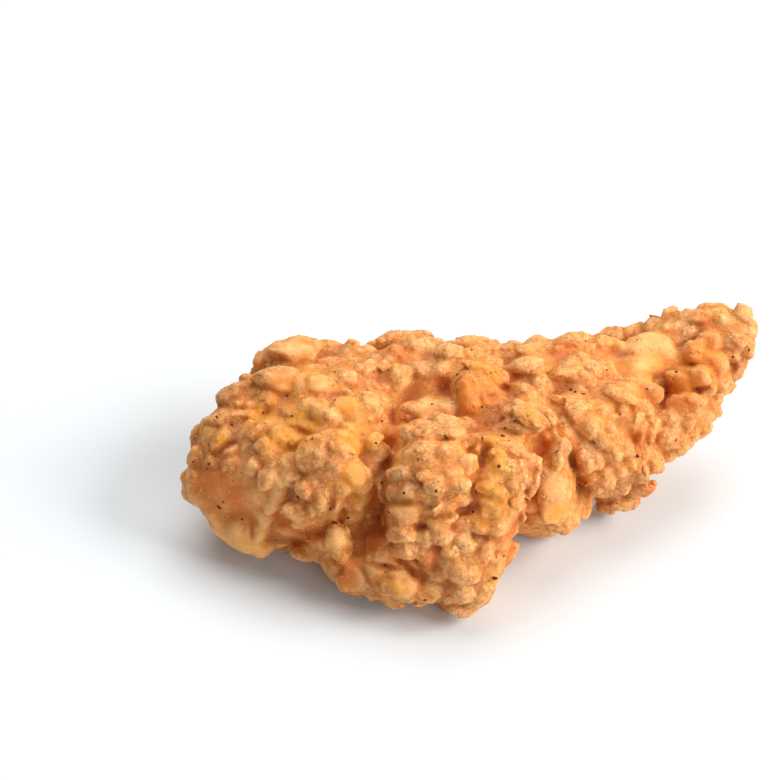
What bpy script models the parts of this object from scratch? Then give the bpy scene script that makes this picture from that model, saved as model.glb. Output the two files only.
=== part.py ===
"""One breaded and fried chicken tender, as a single closed solid that lies on a small flat spot.

+X runs from the thick blunt end to the raised narrow tip, -Y is the near side and +Z is up.
The meat strip is a stretched ball. Lobes of crust sit on it in chosen places, the folds between
them are pressed in, and nodules roughen the rest by a seeded rule. A voxel remesh fuses all of
them into one body, which is then thinned, cut flat underneath and stood on the origin.
"""

import math
import random

import bmesh
import bpy
import numpy as np
from mathutils import Matrix, Vector, kdtree, noise

MM = 0.001
SEED = 11

# Driving sizes of the meat strip under the crust, in millimetres.
HALF_LENGTH = 54.0
END_BLUNTNESS = 0.40  # as a power: 0.5 rounds the ends like a ball, less makes them blunter
SQUARENESS = 2.8  # exponent of the cross-section: 2 is an ellipse, more is boxier
MIDDLE_LINE = 0.9  # the crust faces away from a line down the middle, this share of the length

# Stations along the strip, -1 at the blunt end and 1 at the tip. Each is
# along, sideways place of the middle, height of the middle, half width, half height.
STATIONS = (
    (-1.00, 2.5, 15.0, 18.0, 11.6),
    (-0.60, 3.0, 16.0, 21.0, 13.6),
    (-0.20, -6.0, 15.5, 22.5, 14.0),
    (0.15, -3.5, 15.5, 17.0, 12.6),
    (0.50, -3.5, 17.0, 13.2, 10.2),
    (0.80, -1.0, 19.6, 11.0, 8.6),
    (1.00, 4.5, 24.0, 9.6, 8.2),
)

# A place on the skin is a pair: along the strip, and degrees round it, where 0 is the top, 90 the
# far side, -90 the near side and 180 the underside.

# Folds where the crust dips between its masses: depth and half width in millimetres, then places.
FOLDS = (
    (9.0, 3.4, ((-0.29, 4), (-0.36, -12), (-0.43, -32), (-0.48, -60), (-0.52, -88), (-0.53, -102))),
    (4.0, 3.6, ((-0.30, 8), (-0.22, 4), (-0.14, -1), (-0.09, -8))),
    (6.0, 2.4, ((-0.09, -6), (-0.13, -24), (-0.16, -44), (-0.20, -66), (-0.22, -80))),
    (5.5, 2.2, ((0.15, -38), (0.08, -56), (0.04, -80), (-0.03, -112))),
    (7.5, 2.8, ((0.22, -40), (0.26, -64), (0.30, -90), (0.33, -116))),
    (4.0, 2.2, ((0.14, 26), (0.10, 4), (0.04, -6), (-0.03, -12))),
    (4.5, 2.2, ((0.22, -2), (0.22, -24), (0.22, -42))),
    (2.4, 2.6, ((-0.74, -52), (-0.79, -80), (-0.82, -120))),
    (6.5, 2.6, ((0.69, -24), (0.64, -52), (0.62, -78))),
    (4.0, 2.4, ((-0.50, -98), (-0.38, -96), (-0.28, -86), (-0.20, -86))),
    (4.0, 2.6, ((-0.30, 48), (-0.22, 72), (-0.26, 110), (-0.20, 150))),
    (4.5, 2.6, ((0.36, 56), (0.30, 90), (0.38, 140))),
)
FOLD_RISE = 2.0  # the folds lie this far above the skin, where the lobes meet
FOLD_STEPS = 12  # points along each stretch of a fold

# Lobes of crust, from the blunt end to the tip: along, round, radius, and how far the crown rises
# above the skin, the last two in millimetres.
BLUNT_END_LOBES = (
    (-0.60, 44, 8.0, 3.4), (-0.64, 12, 10.0, 3.0), (-0.68, 62, 3.5, 4.4), (-0.80, 46, 6.0, 3.2),
    (-0.88, 14, 6.5, 3.0), (-0.92, 2, 3.0, 3.6), (-0.95, -24, 9.0, 3.0), (-0.90, -96, 13.0, 3.4),
    (-0.77, -14, 6.0, 3.2), (-0.60, -12, 9.0, 3.6), (-0.44, -6, 6.5, 4.0), (-0.46, 12, 5.5, 3.6),
    (-0.58, -42, 9.0, 4.2), (-0.54, -58, 5.0, 4.4), (-0.68, -76, 8.5, 3.2), (-0.60, -84, 5.5, 3.8),
    (-0.63, -114, 5.5, 5.0), (-0.74, -122, 5.0, 3.6), (-0.90, 80, 9.0, 2.6), (-0.72, 100, 10.0, 2.4),
    (-0.45, 96, 9.0, 2.6), (-0.60, 160, 10.0, 6.5), (-0.64, -172, 9.0, 7.0),
)
MIDDLE_LOBES = (
    (-0.42, 46, 5.5, 3.4), (-0.36, 26, 5.5, 3.4), (-0.18, 46, 8.0, 3.4), (-0.08, 22, 6.0, 3.4),
    (0.04, 28, 6.5, 3.2), (-0.22, -14, 8.0, 3.8), (-0.16, -8, 5.0, 3.2), (-0.30, -14, 4.5, 3.6),
    (-0.28, -34, 8.0, 4.0), (-0.23, -46, 8.0, 4.4), (-0.34, -62, 9.0, 4.0), (-0.36, -80, 6.0, 3.2),
    (-0.28, -76, 6.5, 3.8), (-0.04, 4, 6.0, 3.8), (0.01, -2, 4.5, 3.8), (0.05, 14, 5.0, 3.4),
    (-0.03, -34, 6.5, 4.2), (-0.02, -52, 6.0, 4.4), (-0.08, -66, 6.0, 4.2), (-0.09, -84, 6.0, 3.8),
    (-0.06, -106, 5.0, 2.0), (-0.22, 104, 9.0, 2.4), (-0.02, 84, 8.0, 2.6), (-0.10, 150, 10.0, 3.6),
    (-0.25, -160, 11.0, 3.2),
)
# The crust that bulges out low on the near side.
BULGE_LOBES = (
    (-0.36, -88, 5.0, 4.6), (-0.30, -90, 4.5, 4.8), (-0.23, -90, 5.5, 4.8), (-0.19, -97, 5.5, 4.6),
    (-0.45, -102, 4.5, 7.0), (-0.50, -115, 6.0, 9.0), (-0.40, -110, 4.5, 10.0), (-0.32, -118, 5.0, 9.5),
    (-0.26, -110, 6.5, 7.0), (-0.20, -112, 6.0, 7.6), (-0.20, -116, 5.0, 8.6), (-0.14, -98, 5.0, 5.0),
    (-0.13, -110, 4.5, 5.6), (-0.56, -116, 4.0, 6.0), (-0.38, -104, 8.0, 5.5), (-0.28, -104, 8.0, 5.5),
)
TIP_LOBES = (
    (0.15, 2, 8.0, 4.0), (0.16, -12, 6.0, 3.8), (0.10, -26, 6.0, 5.2), (0.16, -62, 5.0, 4.4),
    (0.14, -84, 4.5, 4.2), (0.20, -88, 4.5, 4.2), (0.18, -106, 5.5, 4.4), (0.10, -94, 4.0, 3.4),
    (0.33, 24, 8.0, 3.4), (0.33, 2, 8.0, 3.4), (0.46, 18, 7.5, 2.8), (0.60, 0, 10.0, 2.2),
    (0.31, -30, 7.0, 3.8), (0.42, -46, 7.5, 3.6), (0.36, -74, 7.0, 3.6), (0.47, -80, 6.5, 3.4),
    (0.51, -104, 6.0, 2.8), (0.42, -118, 6.0, 3.0), (0.57, -66, 6.0, 3.0), (0.54, -26, 5.5, 3.0),
    (0.22, 84, 8.0, 2.6), (0.52, 88, 7.5, 2.4), (0.78, -6, 5.0, 3.0), (0.86, -14, 5.0, 3.2),
    (0.86, -46, 5.0, 3.0), (0.77, -40, 4.5, 3.4), (0.71, -8, 4.5, 2.8), (0.73, -76, 5.0, 3.4),
    (0.84, -100, 5.5, 3.4), (0.95, -60, 6.0, 3.4), (0.88, 30, 6.0, 1.6), (0.97, 10, 5.0, 3.2),
    (0.96, -26, 5.0, 6.6), (0.76, 42, 3.0, 4.4), (0.74, -118, 6.0, 4.0), (0.62, -112, 6.0, 3.0),
    (0.76, 100, 6.0, 2.4), (0.20, 160, 9.0, 4.8), (0.14, -155, 7.0, 4.4),
    (0.60, 170, 8.0, 2.2),
)

# Smooth patches where the batter lies bare: along, round, radius in millimetres.
BARE_PATCHES = ((-0.90, -100, 13.0), (0.58, 6, 10.0), (-0.20, 2, 6.0), (-0.64, 14, 6.0))

# Nodules: how many, smallest and largest radius, and how far the crown rises off the surface as a
# share of the radius.
NODULES = ((230, 2.3, 3.8, 0.6), (520, 1.5, 2.3, 0.9))
NODULE_GAP = 0.85  # closest spacing, as a share of two radii
TRIES_PER_NODULE = 5

# Every lobe and nodule is an uneven ball, squashed towards the skin and a little drawn out.
LUMP_FLATNESS = 0.8
LUMP_STRETCH = 1.3  # most, sideways
LUMP_UNEVENNESS = 0.4  # as a share of the radius
LUMP_GRAIN = 1.3  # bumps per radius

CORE_VOXEL = 1.1  # millimetres
CRUST_VOXEL = 0.7
MOST_TRIANGLES = 11600

CRUST_COLOUR = (0.66, 0.33, 0.12, 1.0)
CRUST_ROUGHNESS = 0.6


def clear_scene():
    for obj in list(bpy.data.objects):
        bpy.data.objects.remove(obj, do_unlink=True)


def station(along):
    """The strip's middle and half sizes at one place along it."""
    at = [row[0] for row in STATIONS]
    return [float(np.interp(along, at, [row[column] for row in STATIONS])) for column in (1, 2, 3, 4)]


def on_skin(along, around):
    """The point of the strip's skin at a place."""
    side, height, half_width, half_height = station(along)
    angle = math.radians(around)
    power = 2.0 / SQUARENESS
    y = math.copysign(abs(math.sin(angle)) ** power, math.sin(angle)) * half_width
    z = math.copysign(abs(math.cos(angle)) ** power, math.cos(angle)) * half_height
    rounding = max(0.0, 1.0 - along * along) ** END_BLUNTNESS
    return Vector((along * HALF_LENGTH, side + y * rounding, height + z * rounding))


def middle_of(along):
    """The point of the middle line that the crust at a place faces away from."""
    return Vector((along * HALF_LENGTH * MIDDLE_LINE, *station(along)[:2]))


def seat(along, around):
    """A place on the skin and its outward direction."""
    here = on_skin(along, around)
    lengthways = on_skin(min(0.999, along + 0.02), around) - on_skin(along - 0.02, around)
    crossways = on_skin(along, around + 5) - on_skin(along, around - 5)
    outward = lengthways.cross(crossways).normalized()
    if outward.dot(here - middle_of(along)) < 0:
        outward.negate()
    return here, outward


def fold_lines():
    """Points along each fold, each with the fold's depth and half width."""
    points = []
    for depth, half_width, places in FOLDS:
        for start, end in zip(places, places[1:]):
            for step in range(FOLD_STEPS + 1):
                share = step / FOLD_STEPS
                along = start[0] + (end[0] - start[0]) * share
                around = start[1] + (end[1] - start[1]) * share
                point, outward = seat(along, around)
                points.append((point + outward * FOLD_RISE, depth, half_width))
    return points


def add_lump(bm, crown, outward, radius, draw, detail):
    """One clump of crust, with its highest point at the crown."""
    stretch = draw.uniform(1.0, LUMP_STRETCH)
    spin = Matrix.Rotation(draw.uniform(0, math.tau), 4, "Z")
    turn = outward.to_track_quat("Z", "Y").to_matrix().to_4x4() @ spin
    shape = Matrix.Diagonal((radius * stretch, radius / stretch, radius * LUMP_FLATNESS, 1.0))
    made = bmesh.ops.create_icosphere(bm, subdivisions=detail, radius=1.0)["verts"]
    grain = Vector((draw.uniform(0, 99), draw.uniform(0, 99), draw.uniform(0, 99)))
    for vert in made:
        vert.co *= 1.0 + LUMP_UNEVENNESS * noise.noise(vert.co * LUMP_GRAIN + grain)
    centre = crown - outward * radius * LUMP_FLATNESS
    bmesh.ops.transform(bm, matrix=Matrix.Translation(centre) @ turn @ shape, verts=made)


def applied(obj):
    """Replaces the object's mesh by what its modifiers make of it."""
    bpy.context.view_layer.update()
    graph = bpy.context.evaluated_depsgraph_get()
    finished = bpy.data.meshes.new_from_object(obj.evaluated_get(graph), depsgraph=graph)
    before = obj.data
    obj.modifiers.clear()
    obj.data = finished
    bpy.data.meshes.remove(before)


def fuse(obj, voxel):
    """Joins the overlapping balls of a mesh into one skin."""
    remesh = obj.modifiers.new("fuse", "REMESH")
    remesh.mode = "VOXEL"
    remesh.voxel_size = voxel
    applied(obj)


def add_core(tender, draw):
    """The strip and the lobes in their chosen places."""
    bm = bmesh.new()
    bmesh.ops.create_icosphere(bm, subdivisions=6, radius=1.0)
    for vert in bm.verts:
        along = max(-1.0, min(1.0, vert.co.normalized().x))
        around = math.degrees(math.atan2(vert.co.y, vert.co.z))
        vert.co = on_skin(along, around)
    for along, around, radius, rise in BLUNT_END_LOBES + MIDDLE_LOBES + BULGE_LOBES + TIP_LOBES:
        point, outward = seat(along, around)
        add_lump(bm, point + outward * rise, outward, radius, draw, 3)
    bm.to_mesh(tender.data)
    bm.free()
    fuse(tender, CORE_VOXEL)


def press_folds(tender, folds):
    """Presses the crust in along the folds, towards the middle line of the strip."""
    lines = kdtree.KDTree(len(folds))
    for index, fold in enumerate(folds):
        lines.insert(fold[0], index)
    lines.balance()
    for vert in tender.data.vertices:
        index, away = lines.find(vert.co)[1:]
        depth, half_width = folds[index][1:]
        inward = middle_of(vert.co.x / HALF_LENGTH) - vert.co
        vert.co += inward.normalized() * depth * math.exp(-((away / half_width) ** 2))


def add_nodules(tender, draw, folds):
    """Nodules scattered by area, none too close together, down in a fold or on a bare patch."""
    bm = bmesh.new()
    bm.from_mesh(tender.data)
    seats = [(face.calc_center_median(), face.normal.copy()) for face in bm.faces]
    areas = [face.calc_area() for face in bm.faces]
    bare = [(seat(along, around)[0], radius) for along, around, radius in BARE_PATCHES]
    bare += [(place, half_width) for place, depth, half_width in folds]
    for count, smallest, largest, rise in NODULES:
        placed = []
        for point, normal in draw.choices(seats, areas, k=count * TRIES_PER_NODULE):
            radius = draw.uniform(smallest, largest)
            crowded = any((point - other).length < NODULE_GAP * (radius + size) for other, size in placed)
            kept_bare = any((point - middle).length < size for middle, size in bare)
            if crowded or kept_bare or len(placed) == count:
                continue
            placed.append((point, radius))
            add_lump(bm, point + normal * radius * rise, normal, radius, draw, 2)
    bm.to_mesh(tender.data)
    bm.free()
    fuse(tender, CRUST_VOXEL)


def thin_out(tender):
    """Fewer triangles, kept where the surface turns most."""
    thin = tender.modifiers.new("thin", "DECIMATE")
    thin.ratio = MOST_TRIANGLES / (2 * len(tender.data.polygons))
    applied(tender)


def cut_flat(tender):
    """Cuts the underside off along the surface that the tender lies on."""
    cutters = bpy.data.collections.new("cutters")
    bpy.context.scene.collection.children.link(cutters)
    size = 4 * HALF_LENGTH
    bpy.ops.mesh.primitive_cube_add(size=size, location=(0.0, 0.0, -size / 2))
    cutter = bpy.context.object
    cutter.name = "below_the_flat"
    cutter.hide_render = True
    cutter.display_type = "WIRE"
    bpy.context.collection.objects.unlink(cutter)
    cutters.objects.link(cutter)
    cut = tender.modifiers.new("flat", "BOOLEAN")
    cut.operation = "DIFFERENCE"
    cut.solver = "MANIFOLD"
    cut.object = cutter
    applied(tender)
    bpy.data.objects.remove(cutter, do_unlink=True)


def stand_on_origin(tender):
    """Moves the middle of the box round the tender over the origin, and turns millimetres to metres."""
    places = np.array([vert.co for vert in tender.data.vertices])
    low, high = places.min(axis=0), places.max(axis=0)
    middle = Vector(((low[0] + high[0]) / 2, (low[1] + high[1]) / 2, low[2]))
    tender.data.transform(Matrix.Scale(MM, 4) @ Matrix.Translation(-middle))


def finish(tender):
    """The fried crust's own material, shaded smooth."""
    crust = bpy.data.materials.new("fried_crust")
    crust.use_nodes = True
    shader = crust.node_tree.nodes["Principled BSDF"]
    shader.inputs["Base Color"].default_value = CRUST_COLOUR
    shader.inputs["Roughness"].default_value = CRUST_ROUGHNESS
    tender.data.materials.append(crust)
    tender.data.shade_smooth()


def main():
    clear_scene()
    draw = random.Random(SEED)
    collection = bpy.data.collections.new("chicken_tender")
    bpy.context.scene.collection.children.link(collection)
    tender = bpy.data.objects.new("tender", bpy.data.meshes.new("tender"))
    collection.objects.link(tender)
    folds = fold_lines()
    add_core(tender, draw)
    press_folds(tender, folds)
    add_nodules(tender, draw, folds)
    thin_out(tender)
    cut_flat(tender)
    stand_on_origin(tender)
    finish(tender)


main()
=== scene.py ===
"""A breaded and fried chicken tender on a pale table: its craggy crust, crumbs and pepper, light and view."""
import math

import bmesh
import bpy
import numpy as np
from mathutils import Matrix, Vector, noise
from mathutils.bvhtree import BVHTree
from mathutils.kdtree import KDTree


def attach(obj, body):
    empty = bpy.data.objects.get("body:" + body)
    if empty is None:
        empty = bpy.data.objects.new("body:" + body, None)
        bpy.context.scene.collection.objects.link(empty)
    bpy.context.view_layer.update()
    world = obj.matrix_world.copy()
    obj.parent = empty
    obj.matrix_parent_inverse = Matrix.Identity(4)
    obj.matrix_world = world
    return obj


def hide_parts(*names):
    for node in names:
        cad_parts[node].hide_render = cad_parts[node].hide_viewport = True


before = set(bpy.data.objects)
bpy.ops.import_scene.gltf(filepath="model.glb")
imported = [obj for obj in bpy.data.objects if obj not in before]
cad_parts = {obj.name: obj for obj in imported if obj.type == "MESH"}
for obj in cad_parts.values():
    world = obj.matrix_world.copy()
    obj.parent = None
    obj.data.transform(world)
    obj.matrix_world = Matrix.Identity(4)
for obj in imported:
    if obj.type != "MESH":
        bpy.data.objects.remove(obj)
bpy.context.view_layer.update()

# The view.
# The photograph looks down on the near side of the tender through a long lens, turned a little
# towards the blunt end. Its pixels, 780 on a side, become lines of sight.
FRAME_SIDE = 780
LENS = 161.5
VIEW_AZIMUTH = math.radians(-16)
VIEW_ELEVATION = math.radians(44)
VIEW_DISTANCE = 0.7
VIEW_TARGET = Vector((-0.01216, 0.02315, 0.01381))
CLIP_START = 0.05

towards_camera = Vector((
    math.sin(VIEW_AZIMUTH) * math.cos(VIEW_ELEVATION),
    -math.cos(VIEW_AZIMUTH) * math.cos(VIEW_ELEVATION),
    math.sin(VIEW_ELEVATION),
))


def placed(name, data):
    """A new object in the scene."""
    obj = bpy.data.objects.new(name, data)
    bpy.context.scene.collection.objects.link(obj)
    return obj


camera = placed("camera", bpy.data.cameras.new("camera"))
bpy.context.scene.camera = camera
camera.data.lens = LENS
camera.data.clip_start = CLIP_START
camera.location = VIEW_TARGET + towards_camera * VIEW_DISTANCE
camera.rotation_mode = "QUATERNION"
camera.rotation_quaternion = (-towards_camera).to_track_quat("-Z", "Y")


def line_of_sight(across, down):
    """The direction in which the camera sees a pixel of the photograph."""
    slope = camera.data.sensor_width / LENS / FRAME_SIDE
    ray = Vector(((across - FRAME_SIDE / 2) * slope, (FRAME_SIDE / 2 - down) * slope, -1.0))
    return (camera.rotation_quaternion @ ray).normalized()


# The crust.
# Flour and batter that fried into a craggy shell: broad lobes with clumps of nodules on them, some
# smooth where the batter lay bare. The solid's form is softened, then covered with nodules again.
MM = 0.001
SEED = 5

# It is fused into one skin again and again, in finer cells each time, and then thinned.
SOFT_VOXEL = 0.8 * MM
SOFTENING = 5
LUMP_VOXEL = 0.34 * MM
CRUST_VOXEL = 0.27 * MM
MOST_TRIANGLES = 196_000

# Lumps that the photograph shows. Each is at a pixel of it, across and down, then, in millimetres,
# half its length and half its width as they are seen, degrees that its length is turned up from
# level, and how far its crown stands off the softened form towards the camera.
LUMPS = (
    # The blunt end.
    (296, 353, 5, 3, 0, 1), (285, 382, 5.4, 3, -8, 1), (318, 383, 2.9, 2.3, 0, 0.8), (261, 361, 1.8, 1.3, 75, 1.6),
    (269, 359, 0.8, 0.6, 0, 1.2), (327, 349, 2.6, 1.7, 0, 0.9), (333, 361, 2.5, 1.2, 0, 0.8),
    (345, 351, 1.1, 0.9, 90, 0.8), (356, 351, 1.2, 1.1, 0, 0.8), (367, 352, 1.7, 1.4, 0, 0.8),
    (365, 366, 2.2, 1.8, 0, 0.9), (347, 375, 1.9, 1.6, 0, 0.8), (344, 389, 1.6, 1, -15, 0.7),
    (344, 402, 2.2, 1.7, 10, 0.9), (370, 403, 3.1, 2.3, -55, 1.2), (366, 417, 1.6, 1.2, 0, 0.6),
    (331, 417, 4.6, 2.6, -36, 0.8), (304, 414, 3.6, 2.4, 0, 1.2), (312, 407, 2.6, 2, 0, 1.4),
    (238, 395, 3.8, 2.2, 18, 0.8), (246, 378, 1.3, 0.8, 10, 0.5), (250, 405, 1, 0.9, 0, 1),
    (232, 418, 4.6, 1.8, 10, 0.8), (250, 417, 1.5, 1.2, 0, 0.8), (244, 431, 2.2, 0.9, 60, 0.8),
    (220, 440, 2.3, 1.4, 55, 1.3), (226, 431, 1, 0.9, 0, 1.1), (196, 435, 2.2, 1.2, 80, 0.6),
    (255, 434, 1.5, 1, 0, 0.6), (263, 425, 1.3, 0.9, 30, 0.5), (274, 436, 2.1, 1.3, 75, 0.9),
    (284, 441, 1, 0.9, 0, 0.8), (295, 443, 1.2, 0.9, 80, 0.7), (264, 444, 1.9, 1.2, 0, 0.7),
    (246, 449, 1.5, 0.9, 80, 0.7), (232, 452, 1.7, 1.2, 20, 0.6), (194, 456, 2.2, 1.4, 80, 0.7),
    (213, 463, 1.6, 1.4, 0, 0.5), (231, 465, 2, 1.3, 30, 0.6), (254, 466, 1.9, 1.5, 20, 0.9),
    (290, 463, 2.4, 1.8, 10, 1.8), (286, 476, 2.7, 1.9, 62, 1.6), (270, 474, 3, 2.2, 60, 1.4),
    (296, 474, 2.6, 2, 20, 1.6), (280, 489, 2.6, 1.7, 60, 1.4), (275, 501, 2.8, 1.7, 60, 1.1),
    (266, 514, 2.6, 1.6, 68, 0.9), (263, 527, 2.6, 1.5, 75, 0.9),
    # Its right side, down to the crevice.
    (319, 456, 3.7, 3.6, 0, 1), (343, 450, 2.4, 1.4, -40, 1), (354, 471, 3.2, 2.6, -70, 1.4),
    (339, 488, 2.4, 1.7, 0, 0.7), (354, 500, 2.8, 2.4, 80, 3.6), (322, 494, 3, 1.3, 85, 0.8),
    (305, 489, 1.9, 1.8, 0, 0.8), (297, 510, 2.6, 1.9, 10, 0.9), (312, 506, 2.1, 1, 80, 0.8),
    (307, 521, 2.7, 1.2, 15, 0.7), (291, 530, 2.2, 1.2, -5, 0.5), (338, 541, 3.4, 2.5, -80, 3.4),
    (322, 541, 1.7, 1.1, 80, 0.4), (351, 528, 1.7, 1.3, 80, 0.9), (343, 515, 2, 1.2, 10, 0.5),
    (303, 553, 2.2, 1.7, 0, 0.8), (285, 548, 1.5, 1.1, 0, 0.5), (372, 440, 2, 1.8, 0, 2.6),
    (376, 452, 2.4, 2, 0, 2.8), (370, 466, 2.4, 2, 0, 2.6), (364, 481, 2.6, 2, 60, 3), (362, 497, 2.6, 1.8, 70, 3.4),
    (354, 514, 2.4, 1.8, 60, 2.4), (383, 389, 1.1, 0.8, 0, 0.6), (351, 428, 1.7, 1.1, -45, 0.8),
    # The ridge at the back.
    (393, 342, 4.4, 2, 12, 1), (414, 347, 2.1, 1.9, 0, 0.9), (428, 346, 1.2, 1, 0, 0.7), (437, 342, 1.3, 1.1, 0, 0.8),
    (388, 358, 1.9, 1, 15, 0.5), (407, 356, 2.6, 1, 8, 0.7), (400, 380, 3.2, 2.1, 88, 1.1),
    (423, 368, 2.5, 1.7, -18, 1), (380, 364, 1.3, 0.9, 0, 0.5), (449, 349, 2.6, 1.8, 0, 0.8),
    (467, 343, 2.6, 1.4, -5, 0.8), (470, 354, 1.6, 1.3, 0, 0.7), (488, 347, 1.9, 1.5, 15, 0.9),
    (492, 357, 2, 1, -10, 0.8), (507, 350, 1.6, 1.2, 0, 0.5), (441, 368, 2, 1.4, 25, 0.7),
    (478, 363, 2.9, 1.4, -15, 1), (494, 376, 2.6, 2, -5, 1.3), (471, 394, 3.9, 2.5, -75, 1.5),
    (458, 388, 2.3, 1.2, 85, 0.8), (528, 364, 3, 1.9, 8, 1), (537, 387, 3.6, 2.6, -78, 1.3),
    (523, 388, 1.7, 1.1, 60, 0.9), (530, 348, 2.6, 1.5, 0, 0.7), (549, 346, 1.3, 1.2, 0, 0.7),
    (530, 413, 3.6, 1.7, -34, 2), (538, 424, 1.5, 1.1, 10, 1.7), (511, 409, 2, 1.4, 10, 1),
    (519, 400, 1.2, 0.9, -50, 1.7),
    # The middle.
    (428, 413, 5, 2.6, 0, 1.2), (448, 413, 3.4, 2.6, -30, 1.2), (409, 418, 2.8, 2.2, 20, 1.6),
    (449, 419, 3, 1.9, -38, 1), (409, 430, 1.5, 1.5, 0, 1.5), (421, 428, 1.5, 0.9, 5, 1.7),
    (452, 431, 2.4, 1.4, -10, 0.8), (468, 428, 2, 1.5, 80, 0.7), (425, 452, 3.6, 2.4, 15, 1.1),
    (446, 450, 1.9, 1.7, 0, 0.9), (463, 446, 1.2, 1, 0, 0.8), (465, 465, 2.6, 2.2, 85, 1.2),
    (459, 483, 2.4, 1.9, 0, 1), (461, 499, 2, 1.5, 25, 1), (404, 475, 2.8, 1.8, 8, 0.5), (427, 475, 2, 1.3, -20, 1),
    (395, 491, 1.8, 1.4, 60, 0.6), (411, 492, 2.4, 2, 10, 0.6), (437, 485, 2.4, 1.9, 0, 1),
    (437, 503, 1.9, 1, 85, 1.4), (427, 496, 2.2, 1.5, 0, 1), (405, 513, 2.6, 2, 0, 0.4),
    (394, 522, 1.5, 1.1, 80, 0.4), (446, 519, 2.1, 1.2, 10, 0.6),
    # The low front.
    (402, 534, 2.4, 1.7, 5, 1.6), (405, 548, 2.5, 2, -20, 1.5), (386, 550, 2.4, 2.1, 30, 1),
    (426, 537, 2.1, 1.8, 0, 1.6), (424, 554, 1.9, 1.6, -30, 1.2), (442, 536, 1.8, 1.6, 0, 1.1),
    (463, 541, 3, 2.3, -48, 1.4), (451, 553, 1.7, 1.6, 0, 1), (466, 524, 2.1, 1.4, -15, 0.9),
    (482, 527, 1.7, 1.3, 0, 0.8), (498, 529, 1.8, 1.6, 0, 0.9), (478, 543, 1.4, 1.1, 0, 0.7),
    (499, 545, 2, 1.5, 20, 0.9), (484, 552, 2, 1.6, 70, 0.8), (411, 563, 1.5, 1.2, -20, 0.7),
    (401, 584, 3.6, 3, -10, 1.8), (396, 571, 2.2, 1.4, -12, 0.9), (360, 576, 3.8, 3.2, 8, 1.4),
    (373, 592, 2.1, 1.5, 0, 1), (352, 588, 2.4, 1.4, -10, 0.7), (430, 567, 2.2, 1.6, -30, 0.6),
    (430, 591, 2.3, 2, 30, 0.9), (438, 574, 1.9, 1.4, 0, 0.7), (462, 572, 2.9, 2.2, 0, 0.9),
    (480, 586, 3.2, 2.4, 50, 1), (490, 567, 2.7, 2, 75, 0.8), (463, 592, 2.1, 1.9, 0, 0.9),
    (460, 608, 2.7, 1.6, -3, 0.9), (448, 592, 2.1, 1.4, 80, 0.8), (474, 603, 1.6, 1.2, 35, 0.7),
    (509, 556, 2.4, 1.5, 60, 0.5),
    # The column right of the middle.
    (494, 440, 2, 1.3, -20, 1), (512, 447, 2.4, 1.7, -32, 1.1), (498, 453, 1.5, 1.1, 0, 1.2),
    (484, 449, 1.8, 1.4, 80, 0.8), (504, 467, 2.6, 1.9, 0, 1), (517, 480, 3.6, 1.7, 72, 1),
    (513, 504, 2.8, 1.4, 65, 0.9), (487, 486, 2, 1.3, 0, 0.9), (498, 490, 2.2, 1.7, -40, 1.1),
    (489, 500, 1.6, 1.4, 0, 0.9), (498, 508, 2.3, 2, 80, 1.1), (485, 511, 1.7, 1.4, 80, 0.8),
    (532, 461, 2.1, 1.6, -40, 0.9), (533, 483, 2.7, 1.1, 72, 0.5), (532, 505, 2, 1.6, 20, 0.7),
    (529, 531, 2.4, 0.9, 2, 1.1), (521, 516, 1.4, 1, -30, 0.6), (546, 472, 2.2, 1.8, 60, 1),
    (558, 461, 1.8, 1.1, 75, 1), (553, 490, 6.4, 2.8, -84, 0.9), (558, 514, 4.2, 2.5, -86, 1.3),
    (544, 510, 1.9, 1, 80, 0.6), (569, 520, 1.8, 1, 80, 0.9),
    # The shoulder.
    (572, 341, 3.2, 2, 6, 1), (586, 348, 2, 1.6, 10, 0.8), (601, 345, 2.1, 1.9, 0, 0.7), (560, 350, 1.3, 1.2, 0, 0.5),
    (564, 370, 2.4, 1.2, 5, 0.7), (592, 367, 3, 1.6, -25, 0.9), (607, 375, 2.8, 1.7, -38, 0.9),
    (609, 366, 0.9, 0.9, 0, 0.8), (588, 384, 2.3, 1, -25, 0.6), (625, 354, 4, 1.5, -42, 0.7),
    (616, 343, 4.5, 2.6, 0, 0.8), (638, 338, 4, 2.6, 15, 0.8), (650, 352, 5, 3.4, 0, 0.4),
    (668, 341, 4.4, 2.8, 20, 0.5), (618, 392, 3.3, 1.4, -22, 1.2), (631, 401, 1.7, 1, -20, 0.8),
    (645, 389, 3.8, 1.9, -20, 1.3), (655, 385, 1.8, 1.3, -30, 1.2), (640, 383, 1.3, 1, 0, 0.9),
    (577, 408, 2.6, 1.8, -62, 1.5), (589, 405, 1.4, 1.2, 0, 1), (601, 413, 2.6, 1.9, -42, 0.9),
    (607, 429, 2, 1.5, -40, 0.9), (622, 412, 1.7, 1.2, 80, 0.8), (557, 410, 1.6, 1.5, 0, 0.7),
    (565, 433, 3.4, 1.5, -58, 1), (560, 398, 1.7, 1, 0, 0.6), (641, 407, 2.6, 1.4, -15, 0.9),
    (656, 412, 2.4, 1.6, -30, 0.9), (671, 418, 2.8, 2, -30, 1.6), (667, 433, 2.8, 2.2, 60, 1.8),
    (632, 417, 1.5, 1.2, 0, 0.7),
    # The side below it.
    (583, 444, 2.2, 1.8, -50, 1.6), (593, 457, 2.4, 1.8, -60, 1.6), (586, 471, 3.2, 2.3, -28, 1.8),
    (585, 461, 2.4, 2, -70, 2.8), (594, 483, 2.6, 2, -60, 1.8), (602, 473, 3.2, 1.9, -62, 1.2),
    (597, 489, 2.6, 1.4, -20, 0.9), (604, 440, 1.9, 1.6, -40, 0.8), (613, 453, 2.1, 1.6, -40, 0.8),
    (618, 470, 2, 1.5, -50, 0.8), (625, 447, 2.3, 1.3, -66, 0.9), (628, 461, 2, 1.1, -60, 0.7),
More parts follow.
